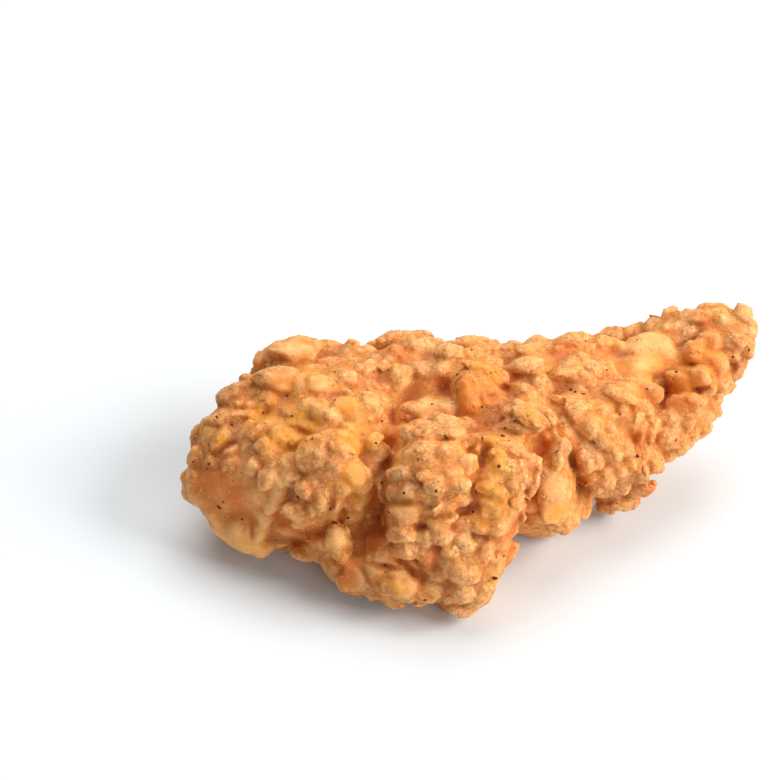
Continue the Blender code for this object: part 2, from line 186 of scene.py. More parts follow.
    (620, 486, 2, 1.4, -20, 0.8), (640, 469, 3.1, 1.6, -66, 1), (652, 462, 2.7, 2, -62, 1),
    (633, 490, 2.1, 1.5, -10, 0.8), (607, 506, 1.9, 1.7, 0, 1.3), (624, 503, 2.6, 1.4, 8, 0.9),
    (646, 488, 2, 1.4, 20, 0.8), (582, 501, 3.2, 1.8, -85, 0.6), (640, 431, 2.2, 1.2, 80, 0.6),
    (652, 430, 2.4, 1, 85, 0.9), (660, 438, 2.4, 0.9, 85, 0.8), (666, 425, 2, 0.9, 85, 0.9),
    (673, 441, 2, 1.8, 60, 0.7), (680, 429, 2.4, 1.1, 80, 0.7), (668, 456, 1.5, 1.3, 30, 0.7),
    (691, 436, 1.5, 1.2, 30, 0.6),
    # The narrow tip.
    (669, 315, 1.9, 1.3, 50, 0.9), (675, 310, 1, 0.7, 75, 1), (706, 318, 3.2, 1.4, 8, 0.4),
    (689, 319, 3, 1.8, 10, 0.8), (688, 334, 4.2, 3, 10, 0.9), (725, 318, 1.4, 0.8, -60, 0.8),
    (716, 310, 2.5, 1.2, 0, 0.6), (694, 354, 2.5, 1.9, 85, 0.9), (698, 346, 1.5, 1, 80, 1.4),
    (713, 342, 2.9, 2.2, -10, 1.5), (716, 363, 2.4, 1.9, -42, 1.3), (701, 376, 2, 1.8, 0, 1.4),
    (682, 381, 3, 2, -18, 1.3), (721, 383, 2, 1.6, -20, 0.9), (708, 389, 1.7, 1.3, 0, 0.8),
    (687, 402, 3.2, 1.7, 0, 1.3), (714, 398, 2, 1.7, 60, 0.8), (697, 413, 1.7, 1.2, -20, 0.8),
    (690, 421, 1.9, 1.2, 80, 0.8), (704, 428, 1.6, 1.4, 0, 0.7), (743, 313, 2.4, 1.9, -80, 1),
    (749, 330, 1.5, 1.4, 0, 0.8), (737, 340, 2, 1.8, 0, 0.8), (748, 347, 2.2, 1.5, 80, 0.8),
    (733, 355, 1.7, 1.4, 0, 0.5), (735, 372, 1.9, 1.4, 70, 0.6),
)

# A lump is made larger and prouder than it shows, but lower where its half width is less than this.
LUMP_KINDS = 14
LUMP_SPREAD = 1.2
LUMP_STAND = 1.25
LOW_BELOW = 1.7

# The blunt end's lower edge rolls under in one smooth mass. Its lumps are at a pixel too, but the last
# number is how high above the table the lump's middle is.
APRON_LUMPS = (
    (203, 491, 5, 3.2, -55, 15), (218, 510, 5, 3.2, -50, 12), (233, 531, 5.5, 3.2, -38, 7.6),
    (225, 521, 5.5, 3.2, -45, 9.8), (248, 537, 5, 3.2, -25, 7.2), (264, 543, 3, 2.4, 33, 6.4),
    (238, 521, 4, 3, -40, 11), (261, 553, 1.6, 1.4, 0, 5),
)

# Dents between the lumps: a pixel, half length and half width in millimetres, turn, and depth. All of
# them are deepened alike, and fade out this many millimetres before and behind the skin.
DENT_GAIN = 1.25
DENT_REACH = 6.0
DENTS = (
    (390, 415, 4, 1.3, -85, 1.5), (388, 446, 5, 1.2, 78, 0.7), (385, 496, 5, 1.9, 80, 3.4),
    (378, 518, 3, 1.8, 80, 2.4), (374, 534, 4, 2, 0, 3.8), (580, 484, 4, 1.2, -58, 2.2),
    (668, 392, 2.6, 1.2, 75, 2.8), (446, 388, 2, 1.6, -40, 1.8), (508, 389, 2.2, 1.6, 0, 1.8),
    (546, 448, 2, 2.2, 60, 1), (515, 523, 2.2, 1, 60, 1.8), (436, 517, 3.2, 0.7, 5, 1.4),
    (423, 526, 1.4, 0.7, 0, 1.4), (293, 541, 3.6, 0.8, 0, 1.8), (328, 524, 2.6, 0.9, 25, 0.9),
    (226, 446, 3, 0.6, 25, 1), (254, 376, 1.4, 0.7, 60, 1), (232, 408, 2.6, 0.5, -4, 0.8),
    (385, 566, 2.6, 0.7, -10, 1.6), (408, 568, 2.2, 0.7, -50, 1.6), (574, 391, 2.6, 1.2, -5, 1.4),
    (690, 365, 2, 0.6, 0, 1.4), (716, 352, 2.2, 0.5, 12, 1.2), (697, 389, 1.6, 0.5, 5, 1.2),
    (731, 366, 1.2, 1.4, 60, 1.2), (530, 440, 3, 1, -20, 1.2), (482, 466, 4, 1.1, 80, 2.4), (445, 437, 2, 0.5, 10, 1),
    (526, 492, 3.4, 0.6, 70, 1.2), (552, 434, 3, 0.9, -60, 1.2), (571, 458, 3, 0.9, -66, 2),
    (579, 482, 4, 1.4, -65, 3.4), (545, 418, 2.8, 0.9, -70, 1.8), (510, 430, 4, 0.8, -10, 1.4),
    (402, 503, 3, 0.8, 5, 0.6), (331, 505, 1.8, 0.7, 80, 1.2), (264, 416, 1.6, 0.9, 60, 1.2),
    (298, 431, 2.6, 0.8, -20, 1.2), (308, 440, 2.2, 1, 0, 1.6), (314, 534, 2.6, 1, 0, 1.6),
    (352, 553, 2.4, 0.9, -20, 1.6), (378, 375, 1.2, 2.4, 0, 1), (494, 395, 1.6, 1, 0, 1.4),
    (368, 548, 2.6, 1.8, 0, 2.6), (632, 436, 1.6, 1, -60, 1.2), (648, 375, 2.2, 0.9, -10, 1),
    (566, 382, 3, 0.8, 0, 0.8),
)

# Where the underside curls up off the table: a pixel, half length and half width, and by how much.
CURLS = ((538, 548, 5.5, 3.0, 2.0),)

# Bare batter, smooth between the lumps: a pixel and a radius in millimetres.
BARE_BATTER = (
    (234, 520, 8), (212, 507, 5), (222, 530, 5), (256, 540, 5), (240, 540, 5), (279, 480, 2.6), (273, 498, 2.8),
    (266, 516, 2.8), (645, 348, 6.5), (622, 362, 3), (296, 350, 3.4), (284, 382, 3.4), (316, 382, 2.2), (410, 394, 3),
    (338, 541, 2.2), (401, 584, 2.6), (360, 576, 2.8), (405, 503, 3), (430, 413, 3), (447, 414, 2.4), (556, 488, 2.4),
    (557, 512, 2.6), (344, 402, 2), (470, 394, 2), (713, 342, 2.6), (701, 376, 2), (716, 362, 2), (683, 381, 2.4),
    (663, 350, 4), (354, 474, 2),
)

# Where that batter ran smooth before it set: a pixel and a radius in millimetres. The gain widens each
# place's fully smooth middle, and the rounds say how smooth it gets.
SMOOTH_GAIN = 1.3
SMOOTH_ROUNDS = 40
SMOOTH_BATTER = (
    (232, 518, 8), (212, 505, 5), (222, 530, 5), (256, 540, 5), (240, 540, 5), (273, 498, 2), (266, 516, 2.4),
    (655, 345, 4), (430, 414, 2.8), (447, 415, 2.4), (556, 488, 2.4), (557, 512, 2.6),
)

# Patches of the crust's other colours: a pixel and a radius in millimetres. The pale ones are partly
# painted light, and the browned ones partly painted shade, with a painted shadow along the back rim of the
# blunt end.
GOLDEN_PATCHES = (
    (276, 439, 2.8), (287, 441, 1.8), (295, 443, 1.1), (304, 417, 2.6), (315, 425, 2.4), (372, 440, 2),
    (366, 425, 1.6), (355, 474, 3), (357, 500, 2), (351, 528, 1.3), (220, 440, 1.8), (494, 376, 2.4), (478, 363, 3),
    (471, 394, 4), (492, 440, 2.4), (484, 490, 2), (498, 453, 2), (497, 466, 2.2), (497, 500, 2.8), (558, 514, 2.2),
    (530, 413, 2), (398, 589, 2), (443, 352, 1.2), (703, 360, 4.5), (683, 385, 3), (300, 424, 5), (298, 436, 6),
    (352, 440, 4), (262, 418, 3.4), (350, 402, 3),
)
TOASTED_PATCHES = (
    (345, 572, 3), (440, 606, 3.6), (395, 556, 2.6), (430, 562, 2.6), (288, 520, 3.4), (575, 490, 2.6),
    (518, 538, 2.4), (660, 392, 2.2), (300, 545, 3.6), (640, 438, 3), (490, 428, 2.6), (312, 536, 3), (510, 535, 3),
    (380, 535, 3), (212, 488, 5), (236, 498, 3), (393, 350, 2.6), (412, 352, 2), (571, 346, 2), (645, 395, 2.2),
    (690, 352, 2.6), (713, 345, 2.6), (716, 363, 2.4), (701, 376, 2.2), (683, 381, 2.6), (687, 402, 2.6),
    (704, 417, 1.8), (706, 320, 2), (509, 550, 2.4), (640, 440, 1.8), (650, 492, 1.6), (440, 382, 2.2),
    (546, 448, 2.4), (668, 395, 2.2), (372, 500, 2.6), (372, 530, 3), (446, 388, 2), (388, 440, 1.6), (580, 484, 1.6),
    (471, 396, 2.6), (707, 366, 3), (366, 545, 2.6), (572, 472, 2.4), (700, 385, 3), (662, 390, 2.6),
    (675, 382, 2.4), (462, 378, 3), (500, 418, 2.6), (490, 392, 2.6), (560, 355, 2.4), (385, 515, 2.4),
)
# Pale crust, partly painted light where the crust faces the lamps.
PALE_AND_LIT_PATCHES = (
    (362, 492, 2), (372, 456, 2.6), (452, 408, 2.2), (688, 350, 2.4), (724, 345, 2.2), (440, 566, 3), (254, 534, 2.4),
    (475, 502, 2.6), (245, 470, 3), (250, 450, 3), (570, 415, 2.2), (580, 432, 2.2), (288, 480, 3), (250, 500, 3),
    (430, 497, 2.4), (462, 606, 4), (684, 340, 3), (625, 352, 2.4), (308, 411, 2.6), (448, 408, 2.2), (412, 412, 2),
    (270, 355, 2.4), (667, 433, 2.4), (437, 352, 3), (424, 372, 2.6), (274, 476, 2.6), (355, 502, 2.4),
    (672, 420, 2.6), (590, 450, 3), (550, 482, 3), (432, 410, 3), (368, 455, 2.4), (592, 445, 2.4), (470, 502, 2.6),
    (425, 535, 3), (465, 540, 4), (440, 585, 3), (460, 608, 3), (286, 468, 3), (236, 440, 2.4), (303, 402, 2.6),
    (378, 452, 1.8), (358, 504, 2), (686, 330, 3), (638, 486, 3), (281, 477, 2), (274, 490, 2), (268, 506, 2),
    (263, 523, 2.2), (450, 350, 2.4), (430, 410, 3.4), (749, 330, 1.6), (725, 318, 1.6), (290, 352, 2.4),
    (592, 367, 2.4), (426, 452, 2.4), (402, 474, 2.2), (347, 375, 2), (346, 450, 1.8), (530, 364, 2.4), (331, 417, 3),
    (465, 592, 4.4), (625, 495, 5), (437, 420, 3), (424, 345, 3.4), (493, 500, 2), (338, 538, 1.6), (402, 582, 2),
    (410, 548, 3),
)
# Browned crust, partly painted shade, with a painted shadow along the back rim of the blunt end.
BROWNED_AND_SHADED_PATCHES = (
    (532, 486, 2), (572, 464, 2.4), (577, 488, 2.4), (538, 428, 2.6), (425, 430, 2), (280, 538, 3), (316, 536, 3),
    (392, 354, 2.4), (372, 382, 2.4), (386, 508, 3.4), (398, 514, 2.6), (562, 450, 2), (573, 474, 2.4),
    (516, 524, 2.6), (540, 432, 2.2), (480, 465, 2), (204, 412, 3), (188, 442, 3), (232, 521, 4), (580, 488, 2.4),
    (546, 417, 2), (742, 372, 3), (210, 405, 5), (232, 382, 5), (250, 368, 4), (385, 520, 4), (490, 425, 2.4),
    (576, 386, 2.6), (265, 416, 2), (398, 497, 4.5), (386, 352, 3), (377, 380, 2.6), (492, 395, 3), (462, 376, 2.6),
    (565, 356, 3), (505, 430, 3), (545, 415, 2), (525, 520, 2.6), (530, 470, 2.4), (275, 537, 2.6), (310, 535, 3),
    (330, 505, 2.4), (335, 575, 3), (366, 545, 3), (571, 468, 2.6), (212, 478, 8), (225, 495, 5), (318, 460, 5.5),
    (404, 486, 3.4), (398, 594, 3.5), (410, 392, 2.6), (360, 585, 5), (232, 425, 2.8), (372, 540, 3.6),
    (308, 440, 2.6), (288, 430, 2.6), (378, 500, 3), (305, 505, 4), (485, 372, 3), (372, 530, 4), (430, 575, 2.4),
    (300, 545, 4), (580, 485, 2.4), (470, 470, 1.8),
)

# The sides that the photograph hides carry lumps of the same kind: how many places are tried, and the
# smallest and largest radius in millimetres. A side is hidden where its normal leans less than this
# towards the camera. By the radius, a lump is this long, high and deep.
UNSEEN_LUMPS = (260, 1.6, 3.2)
HIDDEN_BELOW = 0.12
UNSEEN_STRETCH = 1.2
UNSEEN_HEIGHT = 0.7
UNSEEN_SINK = 0.35

# The whole skin is packed with cobbles, and these with smaller ones: how wide and how high they are.
# By their width, their borders wander this far, in bends this long. By their height, the lowest crown
# is this high and this level stays put. They are rougher in some patches, this wide, than in others.
COBBLES = (2.2 * MM, 0.24 * MM)
SMALL_COBBLES = (1.1 * MM, 0.08 * MM)
COBBLE_WANDER = 0.25
COBBLE_BEND = 0.8
COBBLE_EDGE = 1.9
LOWEST_CROWN = 0.35
COBBLE_LEVEL = 0.45
COBBLE_PATCH = 8 * MM
COBBLE_ROUNDS = 12
BARE_GAIN = 1.4

# Nodules of flour and batter that set in the oil, packed on the skin and sunk in it: how many at most,
# their smallest and largest radius in millimetres, how many places are tried, the least and most of
# their height by their radius, and how close two may be.
NODULES = (640, 0.7, 1.6, 15000, 0.24, 0.4)
NODULE_OVERLAP = 0.72

# They crowd in patches this wide, and keep off barer batter and off the hollows, where the skin lies
# this many millimetres below its own smoothed form, by this share of their radius.
CROWD_PATCH = 5 * MM
BARE_ABOVE = 0.3
HOLLOW = -0.45
HOLLOW_ROUNDS = 80
HOLLOW_CLEAR = 0.6

# The crest is eased down above this height, so that the nodules on it stay as low as the real ones.
CREST_FROM = 29.0 * MM
CREST_EASE = 0.25

# The colours' heights, for the painted shade in the hollows and the painted light on the crowns, are
# measured from the skin smoothed by this many rounds.
CLUMP_ROUNDS = 90
GRAIN_ROUNDS = 8


def pebbles(kinds, detail, unevenness, grain, flats):
    """Pebbles of radius 1, each uneven in its own way, with some flats. Detail 0 makes the plainest."""
    made = []
    for kind in range(kinds):
        bm = bmesh.new()
        if detail:
            bmesh.ops.create_icosphere(bm, subdivisions=detail, radius=1.0)
        else:
            bmesh.ops.create_cube(bm, size=1.2)
            bmesh.ops.subdivide_edges(bm, edges=bm.edges, cuts=1, use_grid_fill=True)
            bmesh.ops.triangulate(bm, faces=bm.faces)
        away = Vector((7.3 * kind, 3.1 * kind, 1.7 * kind))
        for vert in bm.verts:
            vert.co = vert.co.normalized()
            vert.co *= 1.0 + unevenness * noise.noise(vert.co * grain + away)
        cuts = [(Vector(draw.normal(size=3)).normalized(), draw.uniform(0.65, 0.9)) for _ in range(flats)]
        for facing, reach in cuts:
            for vert in bm.verts:
                vert.co -= facing * max(0.0, vert.co @ facing - reach)
        points = np.array([vert.co for vert in bm.verts])
        triangles = np.array([[vert.index for vert in face.verts] for face in bm.faces])
        made.append((points, triangles))
        bm.free()
    return made


def joined(name, kinds, seats):
    """One mesh with a pebble at each seat, a seat being the kind of pebble, its shape and its middle."""
    points, triangles, first = [], [], 0
    for kind, shape, middle in seats:
        pebble, faces = kinds[kind]
        points.append(pebble @ shape.T + middle)
        triangles.append(faces + first)
        first += len(pebble)
    mesh = bpy.data.meshes.new(name)
    mesh.from_pydata(np.concatenate(points), [], np.concatenate(triangles))
    return mesh


def applied(obj):
    """Replaces the object's mesh by what its modifiers make of it."""
    bpy.context.view_layer.update()
    graph = bpy.context.evaluated_depsgraph_get()
    finished = bpy.data.meshes.new_from_object(obj.evaluated_get(graph), depsgraph=graph)
    obj.modifiers.clear()
    obj.data = finished


def fuse(obj, voxel):
    """Joins whatever overlaps in a mesh into one skin."""
    remesh = obj.modifiers.new("fuse", "REMESH")
    remesh.mode = "VOXEL"
    remesh.voxel_size = voxel
    applied(obj)


def surface(mesh):
    """A mesh's points, their normals, its triangles and their areas, as arrays."""
    mesh.calc_loop_triangles()
    points = np.empty(len(mesh.vertices) * 3)
    mesh.vertices.foreach_get("co", points)
    normals = np.empty(len(mesh.vertices) * 3)
    mesh.vertices.foreach_get("normal", normals)
    triangles = np.empty(len(mesh.loop_triangles) * 3, dtype=int)
    mesh.loop_triangles.foreach_get("vertices", triangles)
    areas = np.empty(len(mesh.loop_triangles))
    mesh.loop_triangles.foreach_get("area", areas)
    return points.reshape(-1, 3), normals.reshape(-1, 3), triangles.reshape(-1, 3), areas


def scattered_places(mesh, count):
    """Random places on a mesh, as many by area on every side, with the normals there."""
    points, normals, triangles, areas = surface(mesh)
    chosen = triangles[draw.choice(len(triangles), count, p=areas / areas.sum())]
    weights = draw.dirichlet((1.0, 1.0, 1.0), count)[:, :, None]
    places = (points[chosen] * weights).sum(axis=1)
    outward = (normals[chosen] * weights).sum(axis=1)
    return places, outward / np.linalg.norm(outward, axis=1)[:, None]


def seat_shape(outward, spin, length, width, height):
    """The shape of a pebble on a surface, its length turned by spin round the outward direction."""
    turn = Vector(outward).to_track_quat("Z", "Y").to_matrix() @ Matrix.Rotation(spin, 3, "Z")
    return np.array(turn) @ np.diag((length, width, height))


SIGHT_STEPS = [step * 0.5 for step in range(-80, 80)]


def seen_place(skin, across, down):
    """The point of the skin that shows at a pixel, or the nearest to the line of sight past its edge."""
    ray = line_of_sight(across, down)
    place = skin.ray_cast(camera.location, ray)[0]
    if place is None:
        steps = [camera.location + ray * (VIEW_DISTANCE + step * MM) for step in SIGHT_STEPS]
        place = min(steps, key=lambda point: skin.find_nearest(point)[3])
    return place


def seen_shape(length, width, turn):
    """The shape of a pebble that shows that half length and half width, its length turned up from level."""
    facing = camera.rotation_quaternion.to_matrix() @ Matrix.Rotation(math.radians(turn), 3, "Z")
    return np.array(facing) @ np.diag((length, width, width)) * MM


def fuse_on(obj, kinds, seats, voxel):
    """Adds a pebble at each seat to the object and joins all of it into one skin."""
    added = joined("added", kinds, seats)
    bm = bmesh.new()
    bm.from_mesh(obj.data)
    bm.from_mesh(added)
    bm.to_mesh(obj.data)
    bm.free()
    bpy.data.meshes.remove(added)
    fuse(obj, voxel)


def skin_of(mesh):
    """The mesh's surface, for lines of sight to meet."""
    bm = bmesh.new()
    bm.from_mesh(mesh)
    skin = BVHTree.FromBMesh(bm)
    bm.free()
    return skin


def nearness(points, rows):
    """How near each point is to the nearest of the rows' pixels, 1 there and 0.37 at its radius."""
    near = np.zeros(len(points))
    for across, down, radius in rows:
        middle = np.array(seen_place(skin, across, down))
        squares = ((points - middle) ** 2).sum(axis=1) / (radius * MM) ** 2
        near = np.maximum(near, np.exp(-squares))
    return near


def smoothed(points, mesh, rounds):
    """The mesh's points, each moved to the middle of its neighbours again and again."""
    edges = np.empty(len(mesh.edges) * 2, dtype=int)
    mesh.edges.foreach_get("vertices", edges)
    start, end = edges.reshape(-1, 2).T
    neighbours = np.bincount(edges, minlength=len(points))
    for _ in range(rounds):
        total = np.empty_like(points)
        for axis in range(3):
            total[:, axis] = np.bincount(start, points[end, axis], len(points))
            total[:, axis] += np.bincount(end, points[start, axis], len(points))
        points = 0.5 * points + 0.5 * total / neighbours[:, None]
    return points


# Blender's vector noise is seeded too, or it would follow the clock.
draw = np.random.default_rng(SEED)
noise.seed_set(SEED)
to_camera = np.array(towards_camera)
crust = placed("crust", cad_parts["tender"].data.copy())
bm = bmesh.new()
bm.from_mesh(crust.data)
bmesh.ops.remove_doubles(bm, verts=bm.verts, dist=0.01 * MM)
bm.to_mesh(crust.data)
bm.free()
fuse(crust, SOFT_VOXEL)
soften = crust.modifiers.new("soften", "SMOOTH")
soften.factor = 0.5
soften.iterations = SOFTENING
applied(crust)

lump_kinds = pebbles(LUMP_KINDS, detail=4, unevenness=0.22, grain=1.6, flats=4)
skin = skin_of(crust.data)
seats = []
for across, down, length, width, turn, rise in LUMPS:
    stand = rise * LUMP_STAND * min(1.0, width / LOW_BELOW)
    middle = seen_place(skin, across, down) + towards_camera * (stand - width) * MM
    shape = seen_shape(length * LUMP_SPREAD, width * LUMP_SPREAD, turn)
    seats.append((draw.integers(LUMP_KINDS), shape, np.array(middle)))
for across, down, length, width, turn, height in APRON_LUMPS:
    ray = line_of_sight(across, down)
    middle = camera.location + ray * ((height * MM - camera.location.z) / ray.z)
    seats.append((draw.integers(LUMP_KINDS), seen_shape(length, width, turn), np.array(middle)))
count, smallest, largest = UNSEEN_LUMPS
for place, normal in zip(*scattered_places(crust.data, count)):
    if normal @ to_camera < HIDDEN_BELOW:
        radius = draw.uniform(smallest, largest) * MM
        shape = seat_shape(normal, draw.uniform(0, math.tau), radius * UNSEEN_STRETCH, radius / UNSEEN_STRETCH,
                           radius * UNSEEN_HEIGHT)
        seats.append((draw.integers(LUMP_KINDS), shape, place - normal * radius * UNSEEN_SINK))
fuse_on(crust, lump_kinds, seats, LUMP_VOXEL)

skin = skin_of(crust.data)
points = surface(crust.data)[0]
across_view, up_view = (np.array(camera.rotation_quaternion @ Vector(axis)) for axis in ((1, 0, 0), (0, 1, 0)))
for across, down, length, width, turn, depth in DENTS:
    away = points - np.array(seen_place(skin, across, down))
    right, up = away @ across_view / MM, away @ up_view / MM
    turned = math.radians(turn)
    along = (right * math.cos(turned) + up * math.sin(turned)) / length
    side = (up * math.cos(turned) - right * math.sin(turned)) / width
    near = np.exp(-(along ** 2 + side ** 2 + (away @ to_camera / MM / DENT_REACH) ** 2))
    points -= np.outer(near * depth * DENT_GAIN * MM, towards_camera)
for across, down, length, width, lift in CURLS:
    away = points - np.array(seen_place(skin, across, down))
    right, up = away @ across_view / MM, away @ up_view / MM
    points += np.outer(np.exp(-((right / length) ** 2 + (up / width) ** 2)) * lift * MM, up_view)
bareness = np.minimum(1.0, nearness(points, SMOOTH_BATTER) * SMOOTH_GAIN)[:, None]
points = points * (1.0 - bareness) + smoothed(points, crust.data, SMOOTH_ROUNDS) * bareness
crust.data.vertices.foreach_set("co", points.ravel())
crust.data.update()


def tree_of(points):
    """A tree that finds the nearest of the points."""
    tree = KDTree(len(points))
    for index, point in enumerate(points):
        tree.insert(point, index)
    tree.balance()
    return tree


def cobbled(width, height, offset):
    """Raises the crust's points into cobbles of that width and height, in some places more than in others."""
    points, normals, triangles, areas = surface(crust.data)
    seeds = scattered_places(crust.data, int(areas.sum() / width ** 2))[0]
    tree = tree_of(seeds)
    crowns = draw.uniform(LOWEST_CROWN, 1.0, len(seeds))
    bare = nearness(points, BARE_BATTER)
    rises = np.empty(len(points))
    for index, place in enumerate(points):
        point = Vector(place)
        warped = point + noise.noise_vector(point / (width * COBBLE_BEND)) * (width * COBBLE_WANDER)
        (_, first, near), (_, _, far) = tree.find_n(warped, 2)
        inside = min(1.0, (far - near) / (far + near) * COBBLE_EDGE)
        rough = min(1.0, max(0.3, 0.75 + 1.3 * noise.noise(point / COBBLE_PATCH + offset)))
        rises[index] = rough * crowns[first] * math.sqrt(inside * (2.0 - inside))
    directions = smoothed(normals, crust.data, COBBLE_ROUNDS)
    directions /= np.linalg.norm(directions, axis=1)[:, None]
    points += directions * ((rises - COBBLE_LEVEL) * (1.0 - np.minimum(1.0, bare * BARE_GAIN)) * height)[:, None]
    crust.data.vertices.foreach_set("co", points.ravel())
    crust.data.update()


skin = skin_of(crust.data)
cobbled(*COBBLES, offset=Vector((3, 1, 4)))

points, normals = surface(crust.data)[:2]
stand = ((points - smoothed(points, crust.data, HOLLOW_ROUNDS)) * normals).sum(axis=1) / MM
hollow_tree = tree_of(points[stand < HOLLOW])

nodule_kinds = pebbles(24, detail=2, unevenness=0.6, grain=1.5, flats=4)
cells = {}


def has_room(place, radius):
    """Whether a nodule has room at a place between those already there, and if so, keeps its place."""
    side = 2 * NODULES[2] * MM
    at = tuple(int(value // side) for value in place)
    for offset in np.ndindex(3, 3, 3):
        cell = (at[0] + offset[0] - 1, at[1] + offset[1] - 1, at[2] + offset[2] - 1)
        for other, reach in cells.get(cell, ()):
            if math.dist(place, other) < (radius + reach) * NODULE_OVERLAP:
                return False
    cells.setdefault(at, []).append((tuple(place), radius))
    return True


def nodule_seats(kinds, most, smallest, largest, tries, lowest, highest):
    """Seats for nodules of one size class, packed on the crust, and which way each faces."""
    seats, outwards = [], []
    places, directions = scattered_places(crust.data, tries)
    bare = nearness(places, BARE_BATTER)
    crowd = [noise.noise(Vector(place) / CROWD_PATCH) for place in places]
    sizes = smallest + (largest - smallest) * draw.uniform(0, 1, tries) ** 1.8
    for place, outward, bareness, crowding, size in zip(places, directions, bare, crowd, sizes):
        radius = size * MM
        if len(seats) == most:
            break
        if bareness > BARE_ABOVE or crowding < draw.uniform(-0.75, 0.1) or place[2] < radius:
            continue
        if hollow_tree.find(place)[2] < HOLLOW_CLEAR * radius:
            continue
        if has_room(place, radius):
            stretch, low = draw.uniform(1.0, 1.3), draw.uniform(lowest, highest)
            shape = seat_shape(outward, draw.uniform(0, math.tau), radius * stretch, radius / stretch, radius * low)
            seats.append((draw.integers(len(kinds)), shape, place - outward * radius * low * draw.uniform(0.3, 0.7)))
            outwards.append(outward)
    return seats, outwards


seats = nodule_seats(nodule_kinds, *NODULES)[0]
fuse_on(crust, nodule_kinds, seats, CRUST_VOXEL)
cobbled(*SMALL_COBBLES, offset=Vector((5, 9, 2)))

# Nothing reaches below the table, the crest is eased and the skin thinned.
points, _, triangles, _ = surface(crust.data)
points[:, 2] = np.maximum(points[:, 2], 0.0)
points[:, 2] -= np.maximum(0.0, points[:, 2] - CREST_FROM) * CREST_EASE
crust.data.vertices.foreach_set("co", points.ravel())
thin = crust.modifiers.new("thin", "DECIMATE")
thin.ratio = MOST_TRIANGLES / len(triangles)
applied(crust)
crust.data.shade_smooth()
nodule_tree = tree_of([middle for _, _, middle in seats])
nodule_tints = draw.uniform(0, 1, len(seats))


def paint(mesh, **values):
    """Keeps a number from 0 to 1, or a height in millimetres, for each point of a mesh."""
    for name, value in values.items():
        mesh.attributes.new(name, "FLOAT", "POINT").data.foreach_set("value", value)


def paint_patches(mesh, points):
    """Keeps how near each point is to the patches of each colour, the pale ones partly painted light and the browned
    ones partly painted shade.
    """
    paint(mesh, golden=nearness(points, GOLDEN_PATCHES), toasted=nearness(points, TOASTED_PATCHES),
          pale=nearness(points, PALE_AND_LIT_PATCHES), browned=nearness(points, BROWNED_AND_SHADED_PATCHES),
          bare=nearness(points, BARE_BATTER))


points, normals = surface(crust.data)[:2]
skin = skin_of(crust.data)
skin_clumps = ((points - smoothed(points, crust.data, CLUMP_ROUNDS)) * normals).sum(axis=1) / MM
skin_grains = ((points - smoothed(points, crust.data, GRAIN_ROUNDS)) * normals).sum(axis=1) / MM
paint(crust.data, clump_height=skin_clumps, grain_height=skin_grains,
      tint=nodule_tints[[nodule_tree.find(point)[1] for point in points]])
paint_patches(crust.data, points)


def linear(hexadecimal):
    """A colour written as sRGB hex, as the linear RGBA that Blender's sockets take."""
    shares = [int(hexadecimal[at:at + 2], 16) / 255 for at in (1, 3, 5)]
    return [share / 12.92 if share <= 0.04045 else ((share + 0.055) / 1.055) ** 2.4 for share in shares] + [1.0]


def node(material, kind, inputs=None, **settings):
    """Adds a node with its settings. An input is a value, or the output of another node."""
    tree = material.node_tree
    made = tree.nodes.new(kind)
    for name, value in settings.items():
        setattr(made, name, value)
    for name, value in (inputs or {}).items():
        if isinstance(value, bpy.types.NodeSocket):
            tree.links.new(value, made.inputs[name])
        else:
            made.inputs[name].default_value = value
    return made
